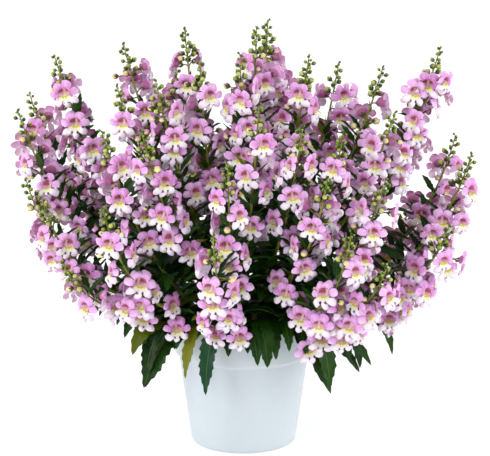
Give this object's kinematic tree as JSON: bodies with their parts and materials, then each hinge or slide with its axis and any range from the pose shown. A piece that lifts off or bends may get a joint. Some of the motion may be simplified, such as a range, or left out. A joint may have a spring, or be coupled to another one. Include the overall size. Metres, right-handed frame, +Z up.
{
  "type": "potted angelonia",
  "caption": "Bushy flowering angelonia with upright spikes of small pink-lilac blooms, growing in a round tapered pale plastic pot.",
  "frame": {"origin": "centre of the pot's flat underside", "axes": "+Z up along the pot's axis; -Y is the front, the side that the picture shows; +X to the right seen from the front"},
  "size_m": [0.4385, 0.3523, 0.404],
  "materials": {
    "pot_plastic": "satin",
    "potting_soil": "matte",
    "green_leaf": "satin",
    "pink_petal": "matte"
  },
  "bodies": {
    "root": {"pot": "pot_plastic", "soil": "potting_soil", "stem_left": "green_leaf", "stem_left_back": "green_leaf", "stem_front_left": "green_leaf", "stem_left_middle": "green_leaf", "stem_top_left": "green_leaf", "stem_front": "green_leaf", "stem_middle": "green_leaf", "stem_front_right": "green_leaf", "stem_right_front": "green_leaf", "stem_right_middle": "green_leaf", "stem_right": "green_leaf", "stem_back_right": "green_leaf", "stem_back": "green_leaf", "stem_back_left": "green_leaf", "spike_left_1": "pink_petal", "spike_left_2": "pink_petal", "spike_left_3": "pink_petal", "spike_left_back_1": "pink_petal", "spike_left_back_2": "pink_petal", "spike_left_back_3": "pink_petal", "spike_front_left_1": "pink_petal", "spike_front_left_2": "pink_petal", "spike_front_left_3": "pink_petal", "spike_left_middle_1": "pink_petal", "spike_left_middle_2": "pink_petal", "spike_left_middle_3": "pink_petal", "spike_top_left_1": "pink_petal", "spike_top_left_2": "pink_petal", "spike_top_left_3": "pink_petal", "spike_front_1": "pink_petal", "spike_front_2": "pink_petal", "spike_front_3": "pink_petal", "spike_middle_1": "pink_petal", "spike_middle_2": "pink_petal", "spike_middle_3": "pink_petal", "spike_front_right_1": "pink_petal", "spike_front_right_2": "pink_petal", "spike_front_right_3": "pink_petal", "spike_right_front_1": "pink_petal", "spike_right_front_2": "pink_petal", "spike_right_front_3": "pink_petal", "spike_right_middle_1": "pink_petal", "spike_right_middle_2": "pink_petal", "spike_right_middle_3": "pink_petal", "spike_right_1": "pink_petal", "spike_right_2": "pink_petal", "spike_right_3": "pink_petal", "spike_right_4": "pink_petal", "spike_back_right_1": "pink_petal", "spike_back_right_2": "pink_petal", "spike_back_right_3": "pink_petal", "spike_back_right_4": "pink_petal", "spike_back_1": "pink_petal", "spike_back_2": "pink_petal", "spike_back_3": "pink_petal", "spike_back_left_1": "pink_petal", "spike_back_left_2": "pink_petal", "spike_back_left_3": "pink_petal"}
  },
  "joints": []
}
